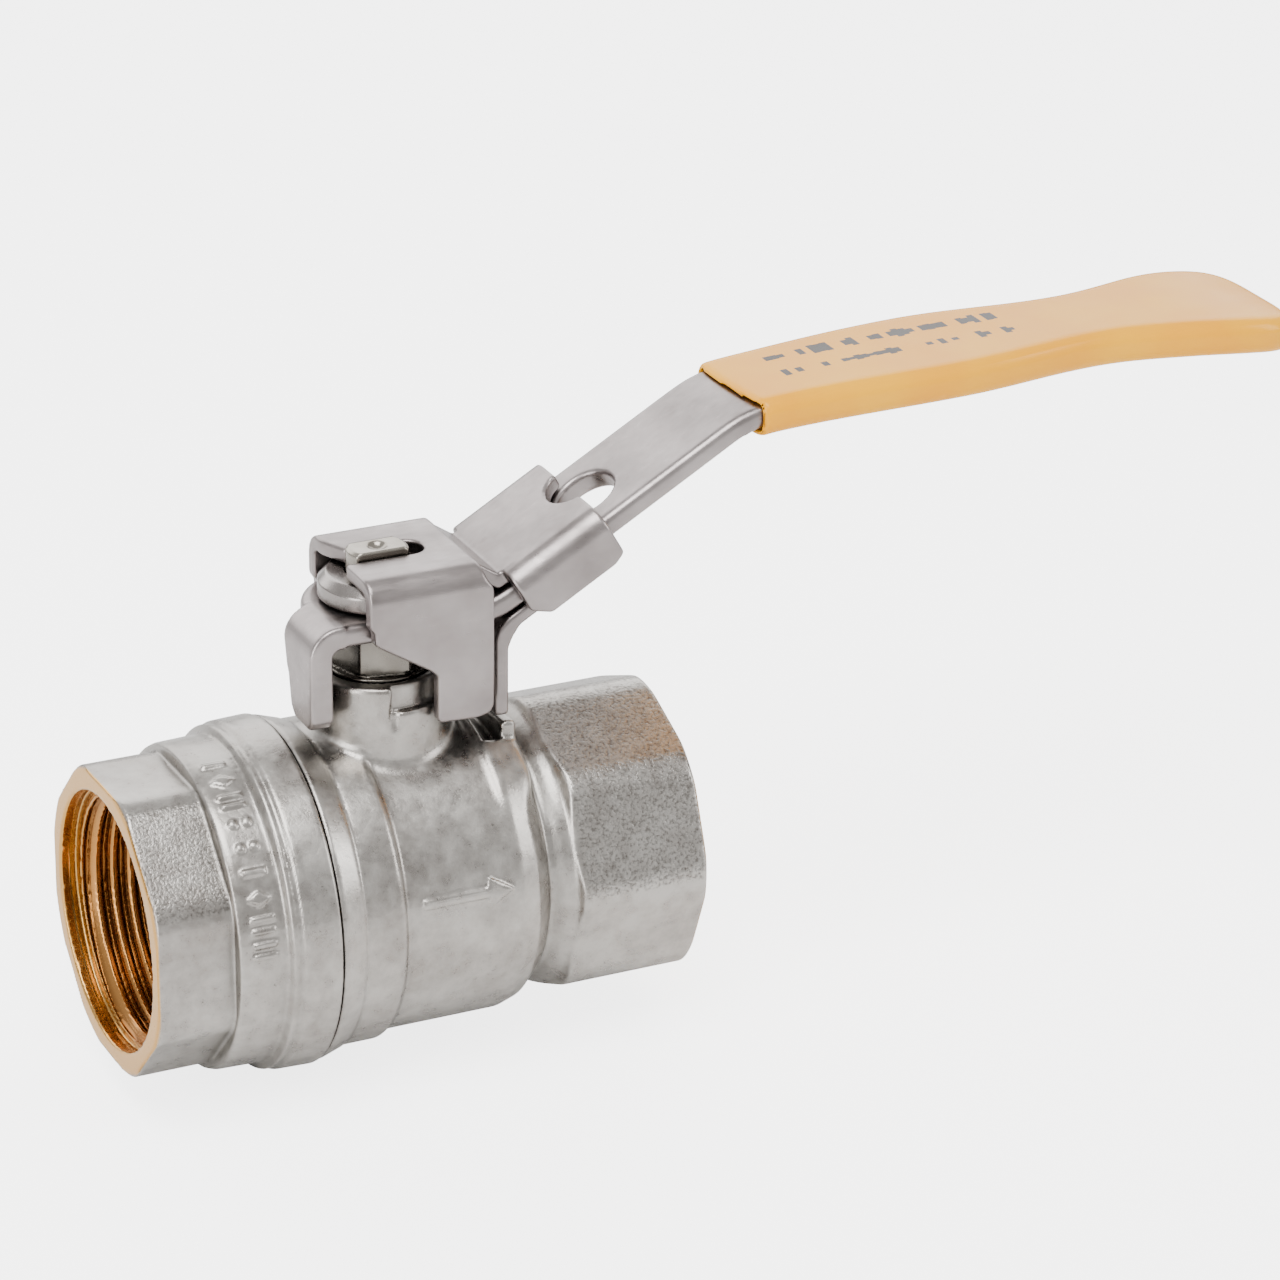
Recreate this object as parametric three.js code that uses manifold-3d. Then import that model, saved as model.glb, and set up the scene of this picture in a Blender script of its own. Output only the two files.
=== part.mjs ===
// Brass ball valve for gas, two threaded female ends, with a lever, a sliding lock on the lever and a dipped grip.
// Millimetres, +Z up. The pipe axis is X and the origin is the centre of the ball, on the stem's axis.
import * as THREE from 'three';
import { mergeVertices } from 'three/addons/utils/BufferGeometryUtils.js';
import Module from 'manifold-3d';

// Driving dimensions
const faceToFace = 75; // between the two end faces
const acrossFlats = 38; // octagonal ends, spanner size
const threadMajor = 16.6; // G1 radius at the thread roots
const threadMinor = 15.15; // G1 radius at the thread crests
const threadPitch = 2.309; // 11 threads per inch
const threadTurns = 5;
const boreRadius = 12.5; // full bore, DN 25
const ballRadius = 18; // sphere
const chamberRadius = 18.6; // inside the body, round the ball
const capThreadRadius = 19.3; // spigot of the cap, screwed into the body
const gap = 0.3; // between pieces that touch
const sealOuter = 20.4; // ring that seals the cap to the body
const seamX = -14; // where the cap meets the body
const seatBack = 14.8; // distance from the ball's centre to the back of a seat
const seatRadius = 16.8;
const chamferRadius = 19.3; // round edge of the end faces
const glandRadius = 6.6; // threaded well in the boss
const pocketRadius = 18.6; // floor of the pocket beside the boss
const bossRadius = 9;
const bossCore = 7.9; // ring round the gland that stays at full height
const bossTop = 29.2; // raised half of the stem boss
const bossStep = 25.8; // lower half of the stem boss
const stemRadius = 4.9;
const stemNeck = 4; // radius where the lever and nut sit
const stemFlat = 2; // half width across the flats of the stem's end
const stemTip = 45.1;
const stemShoulder = 35; // the lever rests on it
const sheet = 2; // lock plate
const bar = 3; // lever bar
const barTop = 38.3; // top face of the lever's head
const barHalf = 8.1; // half width of the bar
const rise = Math.PI / 6; // slope of the lever
const riseStart = 12.6; // where the lever starts to rise
const riseEnd = 47.6; // where it levels out again
const lockHalf = 10.4; // half width of the lock plate, outside
const lockTop = 44.2;
const leverEnd = 128.5; // tip of the bar, from the stem
const coat = 0.7; // thickness of the dipped grip
const rounds = 32; // facets round a large circle
const smallRounds = 24;

const manifold = await Module();
manifold.setup();

// Closed geometry to solid and back
function toSolid(geometry) {
  const bare = geometry.clone();
  for (const name of ['normal', 'uv']) bare.deleteAttribute(name);
  const merged = mergeVertices(bare, 1e-4);
  const points = merged.attributes.position;
  const index = Array.from(merged.index.array);
  const kept = [];
  let volume = 0;
  const corners = [new THREE.Vector3(), new THREE.Vector3(), new THREE.Vector3()];
  for (let i = 0; i < index.length; i += 3) {
    const [a, b, c] = index.slice(i, i + 3);
    if (a === b || b === c || a === c) continue;
    kept.push(a, b, c);
    [a, b, c].forEach((k, n) => corners[n].fromBufferAttribute(points, k));
    volume += corners[0].dot(corners[1].clone().cross(corners[2]));
  }
  if (volume < 0) for (let i = 0; i < kept.length; i += 3) [kept[i], kept[i + 1]] = [kept[i + 1], kept[i]];
  const mesh = new manifold.Mesh({
    numProp: 3,
    vertProperties: new Float32Array(points.array),
    triVerts: new Uint32Array(kept),
  });
  return new manifold.Manifold(mesh);
}

function toGeometry(solid) {
  const mesh = solid.getMesh();
  const indexed = new THREE.BufferGeometry();
  indexed.setAttribute('position', new THREE.BufferAttribute(mesh.vertProperties, 3));
  indexed.setIndex(new THREE.BufferAttribute(mesh.triVerts, 1));
  const flat = indexed.toNonIndexed();
  flat.computeVertexNormals();
  return flat;
}

// A closed profile of [radius, distance along the axis], turned about X or Z
function turned(profile, axis = 'x', facets = rounds) {
  const points = [...profile, profile[0]].map(([r, along]) => new THREE.Vector2(r, along));
  const geometry = new THREE.LatheGeometry(points, facets);
  if (axis === 'x') geometry.rotateZ(-Math.PI / 2);
  else geometry.rotateX(Math.PI / 2);
  return toSolid(geometry);
}

const tube = (inner, outer, from, to, axis, facets) =>
  turned([[inner, from], [outer, from], [outer, to], [inner, to]], axis, facets);

function rod(radius, from, to, axis = 'x', facets = smallRounds) {
  const geometry = new THREE.CylinderGeometry(radius, radius, to - from, facets);
  geometry.translate(0, (from + to) / 2, 0);
  if (axis === 'x') geometry.rotateZ(-Math.PI / 2);
  else geometry.rotateX(Math.PI / 2);
  return toSolid(geometry);
}

function block([x0, x1], [y0, y1], [z0, z1]) {
  const geometry = new THREE.BoxGeometry(x1 - x0, y1 - y0, z1 - z0);
  geometry.translate((x0 + x1) / 2, (y0 + y1) / 2, (z0 + z1) / 2);
  return toSolid(geometry);
}

// An outline of [x, z] points, drawn out across Y
function across(outline, y0, y1) {
  const shape = new THREE.Shape(outline.map(([x, z]) => new THREE.Vector2(x, z)));
  const geometry = new THREE.ExtrudeGeometry(shape, { depth: y1 - y0, bevelEnabled: false });
  geometry.rotateX(Math.PI / 2);
  geometry.translate(0, y1, 0);
  return toSolid(geometry);
}

// An outline of [x, y] points, drawn up Z
function upward(outline, z0, z1) {
  const shape = new THREE.Shape(outline.map(([x, y]) => new THREE.Vector2(x, y)));
  const geometry = new THREE.ExtrudeGeometry(shape, { depth: z1 - z0, bevelEnabled: false });
  geometry.translate(0, 0, z0);
  return toSolid(geometry);
}

// An outline of [y, z] points, drawn out along X
function along(outline, x0, x1) {
  const shape = new THREE.Shape(outline.map(([y, z]) => new THREE.Vector2(y, z)));
  const geometry = new THREE.ExtrudeGeometry(shape, { depth: x1 - x0, bevelEnabled: false });
  geometry.rotateX(Math.PI / 2);
  geometry.rotateZ(Math.PI / 2);
  geometry.translate(x0, 0, 0);
  return toSolid(geometry);
}

const arc = (cx, cy, radius, from, to, steps) =>
  Array.from({ length: steps + 1 }, (_, i) => {
    const angle = THREE.MathUtils.degToRad(from + ((to - from) * i) / steps);
    return [cx + radius * Math.cos(angle), cy + radius * Math.sin(angle)];
  });

// An octagonal bar along X, turned by a number of degrees
function octagon(from, to, turn) {
  const radius = acrossFlats / 2 / Math.cos(Math.PI / 8);
  const geometry = new THREE.CylinderGeometry(radius, radius, to - from, 8);
  geometry.rotateY(THREE.MathUtils.degToRad(turn));
  geometry.translate(0, (from + to) / 2, 0);
  geometry.rotateZ(-Math.PI / 2);
  return toSolid(geometry);
}

// Inside of a threaded end: mouth at distance faceX, bore beyond it; side is -1 or 1
function threadedBore(side) {
  const end = faceToFace / 2;
  const mouth = 16.9;
  const land = 2.5; // plain counterbore before the first thread
  const profile = [[0, side * (end + 1)], [mouth, side * (end + 1)], [mouth, side * (end - land)]];
  for (let turn = 0; turn < threadTurns; turn += 1) {
    const start = end - land - turn * threadPitch;
    profile.push([threadMinor, side * (start - 0.35 * threadPitch)]);
    profile.push([threadMajor, side * (start - 0.85 * threadPitch)]);
  }
  const last = end - land - threadTurns * threadPitch;
  profile.push([threadMinor, side * (last - 0.4)], [boreRadius, side * (last - 2.6)], [boreRadius, 0], [0, 0]);
  return turned(profile);
}

// A conical cut that leaves the end face round, as turned
function endChamfer(side) {
  const end = faceToFace / 2;
  return turned([
    [chamferRadius, side * (end + 1)], [30, side * (end + 1)], [30, side * (end - 5.5)],
    [chamferRadius, side * (end + 0.01)],
  ]);
}

function bodyShape() {
  const skin = turned([
    [0, seamX], [22.6, seamX], [22.4, -13.2], [21.4, -10.4], [21.3, -5.2], [20.5, -4.2], [20.5, 11.6],
    [19.8, 13.7], [18.1, 15.6], [17.2, 16.4], [18, 18.1], [18.7, 20.5], [19.1, 22.6], [19.1, 24], [0, 24],
  ]);
  const chamber = turned([
    [0, -20], [sealOuter + 0.2, -20], [sealOuter + 0.2, seamX + 1.5], [capThreadRadius + gap, seamX + 1.5],
    [capThreadRadius + gap, -8], [chamberRadius, -7.4],
    [chamberRadius, 4], [seatRadius + 0.2, 10.4], [seatRadius + 0.2, seatBack], [0, seatBack],
  ]);
  const boss = rod(bossRadius, 12, bossTop, 'z', rounds);
  const lowered = upward([[-1.8, -12], [12, -12], [12, 12], [-1.8, 12]], bossStep, bossTop + 1)
    .subtract(rod(bossCore, bossStep - 1, bossTop + 2, 'z', rounds));
  const stopLug = block([0.3, 3.3], [7.5, 12.6], [12, 28.5]); // meets the lever's leg when shut
  const collar = turned([[0, 10.9], [20.5, 10.9], [20.5, 14.9], [19.8, 15.9], [0, 15.9]])
    .intersect(block([10, 17], [-20, 20], [13.5, 22]));
  const pocket = tube(pocketRadius, 24, 11.2, 13.8, 'x', rounds).intersect(block([10, 17], [-7.6, 7.6], [12, 26]));
  const lockLug = block([13.8, 15.8], [-7.6, 7.6], [12, 21.2]); // wall beside the lock's tongue
  const stemWell = rod(6.6, 8, 21.6, 'z')
    .add(rod(stemRadius + 0.2, 20, 40, 'z'))
    .add(rod(glandRadius + gap, 25.2, 40, 'z'));
  return skin
    .add(collar)
    .subtract(pocket)
    .add(octagon(20, faceToFace / 2, 0))
    .add(boss.subtract(lowered))
    .add(stopLug)
    .add(lockLug)
    .subtract(chamber)
    .subtract(threadedBore(1))
    .subtract(endChamfer(1))
    .subtract(stemWell);
}

function endCapShape() {
  const skin = turned([
    [0, -27.6], [20.4, -27.6], [21, -26.9], [21.2, -21.6], [22, -20.6], [22.3, -20.1], [22.2, -19.7], [22.6, -19],
    [22.7, seamX - gap], [capThreadRadius, seamX - gap], [capThreadRadius, -8.6], [0, -8.6],
  ]);
  const seatPocket = rod(seatRadius + 0.2, -seatBack, 0, 'x', rounds);
  return skin
    .add(octagon(-faceToFace / 2, -26.5, 21.5))
    .subtract(threadedBore(-1))
    .subtract(endChamfer(-1))
    .subtract(seatPocket);
}

function seatShape(side) {
  const ring = turned([
    [13, side * 9.4], [seatRadius, side * 9.4], [seatRadius, side * 12.9], [15.5, side * 12.9],
    [15.5, side * (seatBack - gap)], [13, side * (seatBack - gap)],
  ]);
  const relief = new THREE.SphereGeometry(ballRadius + gap, rounds, rounds / 2);
  return ring.subtract(toSolid(relief));
}

function ballShape() {
  const sphere = new THREE.SphereGeometry(ballRadius, rounds, rounds / 2);
  const slot = block([-20, 20], [-2.6, 2.6], [14, 20]);
  return toSolid(sphere).subtract(rod(boreRadius, -20, 20, 'x', rounds)).subtract(slot);
}

const sealHeights = [21.9, 23.7]; // lower edges of the two grooves in the stem
const sealGroove = (low) => [[stemRadius, low], [4, low], [4, low + 1.2], [stemRadius, low + 1.2]];

function stemShape() {
  const turnedStem = turned([
    [0, 14.4], [6.3, 14.4], [6.3, 20], [stemRadius, 20],
    ...sealGroove(sealHeights[0]), ...sealGroove(sealHeights[1]),
    [stemRadius, stemShoulder], [stemNeck, stemShoulder], [stemNeck, stemTip - 0.3], [stemNeck - 0.3, stemTip],
    [0, stemTip],
  ], 'z', smallRounds);
  const tang = block([-7, 7], [-2.3, 2.3], [14, 18.4]);
  const lower = rod(8, 13, 18.3, 'z');
  const flats = block([-7, 7], [-stemFlat, stemFlat], [33, 51]);
  const neckWaste = block([-6, 6], [-8, 8], [stemShoulder + 0.1, 50]).subtract(flats);
  const dimple = new THREE.ConeGeometry(1.2, 1.2, 16);
  dimple.rotateX(-Math.PI / 2);
  dimple.translate(0, 0, stemTip - 0.5);
  return turnedStem.subtract(lower.subtract(tang)).subtract(neckWaste).subtract(toSolid(dimple));
}

function glandNutShape() {
  const acrossCorners = 12.7;
  const height = 5.3;
  const turn = THREE.MathUtils.degToRad(17.1);
  const hex = new THREE.CylinderGeometry(acrossCorners / 2, acrossCorners / 2, height, 6);
  hex.rotateX(Math.PI / 2);
  hex.rotateZ(turn);
  hex.translate(0, 0, bossTop + gap + height / 2);
  return toSolid(hex)
    .add(rod(glandRadius, 28.5, bossTop + 1, 'z'))
    .subtract(rod(stemRadius + 0.15, 20, 40, 'z'));
}

// Height of the bar's top face along the grip: a slow rise, then a slight droop to the tip
const levelTop = barTop + (riseEnd - riseStart) * Math.tan(rise);
const droop = (x) => (x > 112 ? ((x - 112) / 16) ** 2 * 1.4 : 0);
const gripTop = (x) => levelTop + 2.2 * (1 - Math.exp(-(x - riseEnd) / 24)) - droop(x);

// Half width of the bar: it swells in the grip, narrows to a waist and ends in a blunt round
const widths = [[riseEnd, barHalf], [78, 9.5], [100, 7.5], [121, 10.7], [leverEnd, 10.7]];
const endRound = 10; // length of the rounded end

function gripHalf(x) {
  if (x <= riseEnd) return barHalf;
  const next = widths.findIndex(([at]) => at >= x);
  const [x0, half0] = widths[next - 1];
  const [x1, half1] = widths[next];
  const blend = (1 - Math.cos((Math.PI * (x - x0)) / (x1 - x0))) / 2;
  const intoEnd = Math.max(0, (x - leverEnd + endRound) / endRound);
  return (half0 + (half1 - half0) * blend) * (1 - intoEnd ** 4) ** 0.25;
}

// The bar's side outline grown by a margin, from one distance along the lever to another
function barSide(from, to, margin) {
  const top = [];
  const low = [];
  const slant = 1 / Math.cos(rise);
  const half = Math.tan(rise / 2);
  const corner = (x, h) => {
    top.push([x - margin * half, h + margin]);
    low.push([x + (bar + margin) * half, h - bar - margin]);
  };
  if (from < riseStart) {
    top.push([from, barTop + margin]);
    low.push([from, barTop - bar - margin]);
    corner(riseStart, barTop);
  } else if (from < riseEnd) {
    const h = barTop + (from - riseStart) * Math.tan(rise);
    top.push([from, h + margin * slant]);
    low.push([from, h - (bar + margin) * slant]);
  }
  if (to > riseEnd) {
    if (from < riseEnd) corner(riseEnd, levelTop);
    const steps = 9;
    const first = from > riseEnd ? from : riseEnd + 4;
    for (let i = 0; i <= steps; i += 1) {
      const x = first + ((to - first) * i) / steps;
      top.push([x, gripTop(x) + margin]);
      low.push([x, gripTop(x) - bar - margin]);
    }
  }
  return [...top, ...low.reverse()];
}

// The bar's plan outline grown by a margin: out along -Y, round the tip and back
function gripPlan(from, margin) {
  const steps = 24;
  const reach = leverEnd - from;
  const side = Array.from({ length: steps + 1 }, (_, i) => {
    const x = from + reach * Math.sin(((i / steps) * Math.PI) / 2);
    const grown = x + margin * Math.max(0, (x - leverEnd + endRound) / endRound);
    return [grown, Math.max(gripHalf(x), 2) + margin];
  });
  return [...side.map(([x, y]) => [x, -y]), ...side.reverse()];
}

function leverBarShape() {
  const headRadius = 9.7;
  const side = across(barSide(-12, leverEnd, 0), -14, 14);
  const head = arc(0, 0, headRadius, 123.4, 171, 7);
  const legEdge = 1.25; // far edge of the folded leg
  const plan = upward([...head, [-8.4, legEdge], [-8.4, -barHalf], ...gripPlan(44, 0)], 20, 80);
  const bend = [
    ...arc(-8.4, barTop - 4, 4, 180, 90, 5), [-8.4, barTop - bar], ...arc(-8.4, barTop - 4, 1, 90, 180, 3),
    [-9.4, 25.6], [-10.4, 24.6], [-12.4, 24.6],
  ];
  const legFace = along([
    [-barHalf, 25.4], [-7.3, 24.6], [-1.9, 24.6], [-0.9, 25.6], [legEdge, 35], [legEdge, 40], [-barHalf, 40],
  ], -14, -8);
  const leg = across(bend, -barHalf, legEdge).intersect(legFace);
  const padlockHole = rod(4, -10, 10, 'z', smallRounds).rotate([0, -30, 0]);
  const placed = padlockHole.translate([28.7, 0, barTop + (28.7 - riseStart) * Math.tan(rise)]);
  const flatGap = stemFlat + 0.15;
  const stemHole = rod(stemNeck + 0.15, 30, 45, 'z').intersect(block([-6, 6], [-flatGap, flatGap], [29, 46]));
  return side.intersect(plan).add(leg).subtract(placed).subtract(stemHole);
}

function gripShape() {
  const mouth = 48.9;
  const skin = coat + gap;
  const outside = across(barSide(mouth, leverEnd + skin, skin), -14, 14)
    .intersect(upward(gripPlan(mouth, skin), 20, 80));
  const inside = across(barSide(mouth - 8, leverEnd + gap, gap), -14, 14)
    .intersect(upward(gripPlan(mouth - 8, gap), 20, 80));
  return outside.subtract(inside);
}

function leverNutShape() {
  return turned([
    [stemNeck + 0.1, barTop + gap], [7.2, barTop + gap], [7.6, barTop + gap + 0.4], [7.6, 40.7], [6.5, 41.9],
    [stemNeck + 0.1, 41.9],
  ], 'z', smallRounds);
}

// The lock plate: top, drop and slope of one sheet, with a skirt folded down each side
const crease = [13.5, 41.7];
const dropStart = [9.7, lockTop];
const slopePoint = (along, down) => [
  crease[0] + along * Math.cos(rise) + down * Math.sin(rise),
  crease[1] + along * Math.sin(rise) - down * Math.cos(rise),
];

function slideLockShape() {
  const end = slopePoint(14.6, 0);
  const under = slopePoint(14.6, sheet);
  const topSheet = across([
    [-5.6, lockTop], dropStart, crease, end, under,
    [crease[0] - 0.02, crease[1] - sheet * 1.07], [dropStart[0] - 0.5, lockTop - sheet], [-5.6, lockTop - sheet],
  ], -lockHalf, lockHalf);
  const levelSkirt = [
    [-5.2, lockTop - 0.5], [-5.2, 38.4], [-4.6, 37.6], [-4.5, 36], [-3, 35], [2.8, 31.4], [3.9, 30.4], [3.9, 24.3],
    [9.3, 24], [11.6, 25.2], [11.6, 41.2], [10.8, 42.4], [9.2, lockTop - 0.5],
  ];
  const slopeSkirt = [[0.7, 1], [0.7, 6], [2.9, 7.6], [12.6, 7.6], [14.6, 6.8], [14.6, 0.4], [1.6, 0.4]]
    .map(([along, down]) => slopePoint(along, down));
  let plate = topSheet;
  for (const side of [-1, 1]) {
    const [inner, outer] = [side * (lockHalf - sheet), side * lockHalf].sort((a, b) => a - b);
    plate = plate.add(across(levelSkirt, inner, outer)).add(across(slopeSkirt, inner, outer));
    const [near, far] = [side * 7.4, side * 12].sort((a, b) => a - b);
    const relief = across([[9.4, 46], [9.6, 41.3], [14.2, 38.8], [14.2, 46]], near, far);
    const kept = across(slopeSkirt, inner, outer).add(across(levelSkirt, inner, outer));
    plate = plate.subtract(relief.subtract(kept));
  }
  // round the long edges of the fold
  const section = [
    ...arc(-lockHalf + 3, -3, 3, 180, 90, 5), ...arc(lockHalf - 3, -3, 3, 90, 0, 5),
    [lockHalf, -40], [-lockHalf, -40],
  ];
  const level = along(section, -10, 13.4).translate([0, 0, lockTop]);
  const sloped = along(section, -1.2, 38.8)
    .rotate([0, -THREE.MathUtils.radToDeg(rise), 0])
    .translate([crease[0], 0, crease[1]]);
  const folded = level.add(sloped);
  const slot = upward([[-8, -2.4], ...arc(4.2, 0, 2.4, -90, 90, 8), [-8, 2.4]], 40, 46);
  const notch = rod(3.7, -8, 8, 'z', 24).rotate([0, -30, 0]).translate([end[0] + 0.3, 0, end[1]]);
  return plate.intersect(folded).subtract(slot).subtract(notch);
}

function lockTongueShape() {
  const thick = 1.8;
  const face = 12.8;
  const lower = (x) => barTop - bar / Math.cos(rise) - 0.35 + (x - riseStart) * Math.tan(rise);
  const slant = thick / Math.cos(rise);
  return across([
    [face, 22.4], [face + thick, 22.4], [face + thick, 31.6], [face + 3, lower(face + 3) - slant],
    [22.5, lower(22.5) - slant], [22.5, lower(22.5)], [face + 1.4, lower(face + 1.4)], [face, 33.2],
  ], -lockHalf + sheet + gap, lockHalf - sheet - gap);
}

const ring = (inner, outer, from, to) => tube(inner, outer, from, to, 'z', smallRounds);

const plated = { color: 0xc4c2bb, roughness: 0.42, metalness: 1 };
const brass = { color: 0xd8b57c, roughness: 0.35, metalness: 1 };
const steel = { color: 0xa9a19e, roughness: 0.38, metalness: 1 };
const ptfe = { color: 0xf1efe8, roughness: 0.5, metalness: 0 };
const rubber = { color: 0x24211f, roughness: 0.65, metalness: 0 };

const pieces = [
  ['body', bodyShape(), plated],
  ['end_cap', endCapShape(), plated],
  ['seat_ring_inlet', seatShape(-1), ptfe],
  ['seat_ring_outlet', seatShape(1), ptfe],
  ['seat_o_ring_inlet', tube(15.8, 16.8, -14.6, -13.2, 'x', rounds), rubber],
  ['seat_o_ring_outlet', tube(15.8, 16.8, 13.2, 14.6, 'x', rounds), rubber],
  ['body_seal_ring', tube(19.5, sealOuter, seamX + 0.1, seamX + 1.2, 'x', rounds), rubber],
  ['ball', ballShape(), { color: 0xd9dcde, roughness: 0.08, metalness: 1 }],
  ['stem', stemShape(), { color: 0xb9b4ac, roughness: 0.35, metalness: 1 }],
  ['stem_thrust_washer', ring(stemRadius + 0.1, 6.4, 20.3, 21.3), ptfe],
  ['stem_o_ring_lower', ring(4.2, 4.95, sealHeights[0] + 0.1, sealHeights[0] + 1.1), rubber],
  ['stem_o_ring_upper', ring(4.2, 4.95, sealHeights[1] + 0.1, sealHeights[1] + 1.1), rubber],
  ['stem_packing', ring(stemRadius + 0.15, glandRadius, 25.5, 26.8), ptfe],
  ['gland_follower', ring(stemRadius + 0.15, glandRadius, 27.1, 28.2), brass],
  ['gland_nut', glandNutShape(), plated],
  ['lever_bar', leverBarShape(), steel],
  ['lever_nut', leverNutShape(), steel],
  ['slide_lock', slideLockShape(), steel],
  ['lock_tongue', lockTongueShape(), steel],
  ['grip', gripShape(), { color: 0xf2a51e, roughness: 0.3, metalness: 0 }],
];

const valve = new THREE.Group();
for (const [name, solid, look] of pieces) {
  const mesh = new THREE.Mesh(toGeometry(solid), new THREE.MeshStandardMaterial(look));
  mesh.name = name;
  valve.add(mesh);
}

export default valve;
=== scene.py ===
import math

import bpy
import numpy as np
from mathutils import Matrix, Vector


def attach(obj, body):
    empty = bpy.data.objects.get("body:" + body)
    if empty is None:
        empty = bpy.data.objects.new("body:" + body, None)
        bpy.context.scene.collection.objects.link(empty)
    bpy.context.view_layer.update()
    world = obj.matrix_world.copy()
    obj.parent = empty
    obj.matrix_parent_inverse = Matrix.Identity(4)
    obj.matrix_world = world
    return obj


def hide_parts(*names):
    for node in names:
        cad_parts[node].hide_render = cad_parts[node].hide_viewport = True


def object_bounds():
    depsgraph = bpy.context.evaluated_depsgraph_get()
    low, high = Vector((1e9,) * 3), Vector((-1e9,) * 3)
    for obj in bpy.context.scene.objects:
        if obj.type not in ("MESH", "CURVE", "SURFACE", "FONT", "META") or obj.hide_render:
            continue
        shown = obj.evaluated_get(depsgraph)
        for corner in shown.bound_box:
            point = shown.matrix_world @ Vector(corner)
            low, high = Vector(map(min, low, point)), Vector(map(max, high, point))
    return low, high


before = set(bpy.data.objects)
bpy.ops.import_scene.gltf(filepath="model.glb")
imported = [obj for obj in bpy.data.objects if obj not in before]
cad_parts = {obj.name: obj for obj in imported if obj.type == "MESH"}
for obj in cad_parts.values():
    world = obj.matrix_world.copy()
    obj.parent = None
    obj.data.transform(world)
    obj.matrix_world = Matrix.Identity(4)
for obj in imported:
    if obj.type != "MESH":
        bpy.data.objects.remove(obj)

# A gas ball valve. Shapes are worked out in millimetres as distance functions and skinned at the end.

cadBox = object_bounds()
mm = 0.001
print("frame loaded:", len(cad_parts), "nodes")


# tools

def smoothMin(a, b, k):  # joins two shapes with a fillet about k / 2 wide
    h = np.maximum(k - np.abs(a - b), 0) / k
    return np.minimum(a, b) - h * h * k / 4


def smoothMax(a, b, k):
    return -smoothMin(-a, -b, k)


def boxDistance(x, y, z, low, high, round=0.4):
    d = [np.abs(v - (a + b) / 2) - (b - a) / 2 + round for v, a, b in zip((x, y, z), low, high)]
    outside = np.sqrt(sum(np.maximum(v, 0) ** 2 for v in d))
    return outside + np.minimum(np.maximum(np.maximum(d[0], d[1]), d[2]), 0) - round


def outlineTable(points, soften=0.15, step=0.1, margin=4):  # distance to a closed outline, looked up
    outline = np.array(points, float)
    low = outline.min(0) - margin
    count = np.ceil((outline.max(0) + margin - low) / step).astype(int) + 1
    u, v = np.meshgrid(*(low[i] + step * np.arange(count[i]) for i in (0, 1)), indexing="ij")
    nearest = np.full(u.shape, 1e9)
    inside = np.zeros(u.shape, bool)
    for (ax, ay), (bx, by) in zip(outline, np.roll(outline, -1, 0)):
        ex, ey = bx - ax, by - ay
        t = np.clip(((u - ax) * ex + (v - ay) * ey) / (ex * ex + ey * ey), 0, 1)
        nearest = np.minimum(nearest, (u - ax - t * ex) ** 2 + (v - ay - t * ey) ** 2)
        if ey:
            inside ^= ((ay > v) != (by > v)) & (u < ax + (v - ay) * ex / ey)
    table = np.where(inside, -1, 1) * np.sqrt(nearest)
    if soften:  # a blur rounds every corner a little, as casting and plating do
        reach = int(3 * soften / step)
        weights = np.exp(-0.5 * (np.arange(-reach, reach + 1) * step / soften) ** 2)
        for axis in (0, 1):
            padded = np.pad(table, [(reach, reach) if i == axis else (0, 0) for i in (0, 1)], mode="edge")
            parts = [np.take(padded, range(i, i + table.shape[axis]), axis) for i in range(2 * reach + 1)]
            table = sum(w * p for w, p in zip(weights, parts)) / weights.sum()

    def look(a, b):
        p = np.clip((a - low[0]) / step, 0, count[0] - 1.001)
        q = np.clip((b - low[1]) / step, 0, count[1] - 1.001)
        i, j = p.astype(int), q.astype(int)
        s, t = p - i, q - j
        near = table[i, j] * (1 - s) + table[i + 1, j] * s
        return near * (1 - t) + (table[i, j + 1] * (1 - s) + table[i + 1, j + 1] * s) * t

    return look


def arcPoints(cx, cy, radius, start, stop, steps=10):
    angles = np.radians(np.linspace(start, stop, steps + 1))
    return [(cx + radius * math.cos(a), cy + radius * math.sin(a)) for a in angles]


def sampleShape(shape, low, cell, count, block=8):  # fine values only near the surface
    axes = [low[i] + cell * np.arange(count[i] * block) for i in range(3)]
    centres = [low[i] + cell * (block * np.arange(count[i]) + (block - 1) / 2) for i in range(3)]
    grid = np.meshgrid(*centres, indexing="ij")
    coarse = shape(*(g.ravel() for g in grid)).reshape(count)
    values = coarse.astype(np.float32)
    for axis in range(3):
        values = np.repeat(values, block, axis)
    near = np.argwhere(np.abs(coarse) < cell * block * 1.25 + 2 * cell)
    steps = np.arange(block)
    for part in np.array_split(near, max(1, len(near) // 700)):
        where = [part[:, i, None] * block + steps for i in range(3)]
        size = (len(part), block, block, block)
        spots = [axes[0][where[0]][:, :, None, None], axes[1][where[1]][:, None, :, None]]
        spots.append(axes[2][where[2]][:, None, None, :])
        fine = shape(*(np.broadcast_to(s, size).ravel() for s in spots)).reshape(size)
        values[where[0][:, :, None, None], where[1][:, None, :, None], where[2][:, None, None, :]] = fine
    return values


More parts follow.
